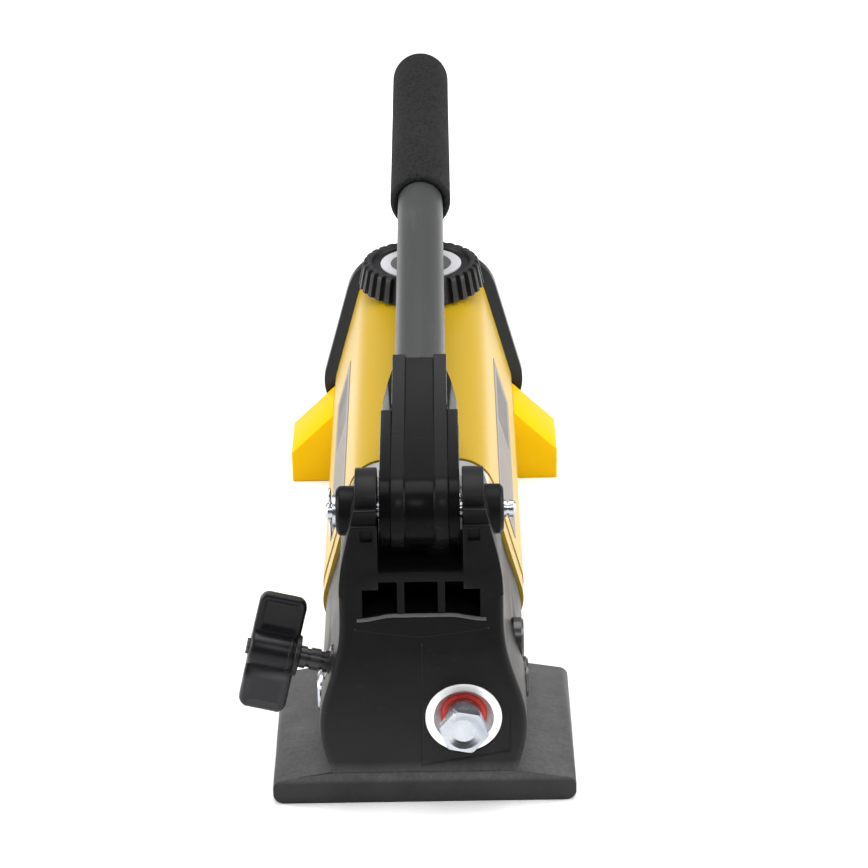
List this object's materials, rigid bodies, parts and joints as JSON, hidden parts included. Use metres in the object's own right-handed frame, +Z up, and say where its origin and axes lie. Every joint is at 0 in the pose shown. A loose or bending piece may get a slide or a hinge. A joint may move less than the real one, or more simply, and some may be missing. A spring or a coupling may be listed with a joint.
{
  "type": "hydraulic hand pump",
  "caption": "Two-speed hydraulic hand pump with a stowable lever, a release valve knob and a long oil reservoir on two feet.",
  "frame": {"origin": "on the sole of the front foot, straight below the lever's pivot", "axes": "+X towards the flank with two valve plugs, +Y from the head along the stowed lever to the reservoir, +Z up"},
  "size_m": [0.1367, 0.5419, 0.1403],
  "materials": {
    "casing_black": "moulded nylon, fine texture",
    "lever_black": "moulded nylon, satin",
    "tube_grey": "satin powder coat",
    "grip_foam": "closed-cell foam",
    "reservoir_yellow": "satin yellow",
    "foot_yellow": "satin yellow",
    "end_cap_black": "glossy",
    "filler_black": "moulded",
    "ring_light": "printed ring",
    "disc_grey": "moulded",
    "knob_black": "satin moulded",
    "aluminium": "machined",
    "zinc_steel": "bright zinc plate",
    "hard_steel": "ground",
    "black_steel": "black oxide",
    "seal_red": "smooth",
    "seal_dark": "smooth",
    "label_film": "printed film",
    "mesh_brass": "woven mesh"
  },
  "bodies": {
    "head": {"head_casing": "casing_black", "casing_screws": "zinc_steel", "pump_block": "aluminium", "bulkhead": "aluminium", "gland_nut": "zinc_steel", "wiper_seal": "seal_dark", "high_pressure_seal": "seal_dark", "port_plug": "zinc_steel", "port_seal": "seal_red", "fulcrum_pin": "zinc_steel", "fulcrum_washer": "zinc_steel", "cotter_pin": "zinc_steel", "release_gland": "black_steel", "release_o_ring": "seal_dark", "front_gasket": "seal_dark", "reservoir_shell": "reservoir_yellow", "rear_gasket": "seal_dark", "end_cap": "end_cap_black", "tie_rod": "zinc_steel", "tie_rod_nut": "zinc_steel", "suction_tube": "zinc_steel", "suction_strainer": "mesh_brass", "label_right": "label_film", "label_left": "label_film", "rear_foot": "foot_yellow", "rear_foot_screws": "zinc_steel", "inlet_valve_spring": "hard_steel", "inlet_valve_plug": "black_steel", "outlet_valve_spring": "hard_steel", "outlet_valve_plug": "black_steel", "relief_valve_spring": "hard_steel", "relief_valve_plug": "zinc_steel"},
    "lever": {"lever_beam": "lever_black", "lever_tube": "tube_grey", "tube_roll_pin": "black_steel", "lever_grip": "grip_foam", "piston_pin": "hard_steel", "piston_pin_clips": "black_steel"},
    "piston": {"piston": "hard_steel", "low_pressure_seal": "seal_dark"},
    "release_seat": {"release_ball": "hard_steel"},
    "release_valve": {"release_stem": "black_steel", "release_knob": "knob_black", "knob_pin": "zinc_steel"},
    "cap_seal": {"cap_gasket": "seal_dark"},
    "cap": {"filler_cap": "filler_black", "cap_ring": "ring_light", "cap_disc": "disc_grey"},
    "inlet_ball": {"inlet_check_ball": "hard_steel"},
    "outlet_ball": {"outlet_check_ball": "hard_steel"},
    "relief_ball": {"relief_check_ball": "hard_steel"}
  },
  "joints": [
    {"name": "lever_hinge", "type": "hinge", "parent": "head", "child": "lever", "pos_m": [0, 0, 0.119], "axis": [1, 0, 0], "range_deg": [0, 52]},
    {"name": "piston_slide", "type": "slide", "parent": "head", "child": "piston", "axis": [0, 0, 1], "range_m": [0, 0.0245]},
    {"name": "release_lift", "type": "slide", "parent": "head", "child": "release_seat", "axis": [-0.9703, 0, 0.2419], "range_m": [0, 0.00112]},
    {"name": "release_turn", "type": "hinge", "parent": "release_seat", "child": "release_valve", "pos_m": [-0.036, 0.005, 0.0496], "axis": [-0.9703, 0, 0.2419], "range_deg": [0, 270]},
    {"name": "cap_lift", "type": "slide", "parent": "head", "child": "cap_seal", "axis": [0, 0, 1], "range_m": [0, 0.003]},
    {"name": "cap_turn", "type": "hinge", "parent": "cap_seal", "child": "cap", "pos_m": [0, 0.291, 0.0948], "axis": [0, 0, 1], "range_deg": [0, 360]},
    {"name": "inlet_lift", "type": "slide", "parent": "head", "child": "inlet_ball", "axis": [1, 0, 0], "range_m": [0, 0.0012], "stiffness_N_per_m": 30, "springref_m": -0.002},
    {"name": "outlet_lift", "type": "slide", "parent": "head", "child": "outlet_ball", "axis": [1, 0, 0], "range_m": [0, 0.0012], "stiffness_N_per_m": 30, "springref_m": -0.002},
    {"name": "relief_lift", "type": "slide", "parent": "head", "child": "relief_ball", "axis": [-1, 0, 0], "range_m": [0, 0.0012], "stiffness_N_per_m": 30, "springref_m": -0.002}
  ],
  "couplings": [
    {"joint": "piston_slide", "follows": "lever_hinge", "m_per_rad": 0.026901},
    {"joint": "release_turn", "follows": "release_lift", "rad_per_m": 4188.8},
    {"joint": "cap_turn", "follows": "cap_lift", "rad_per_m": 2094.4}
  ]
}
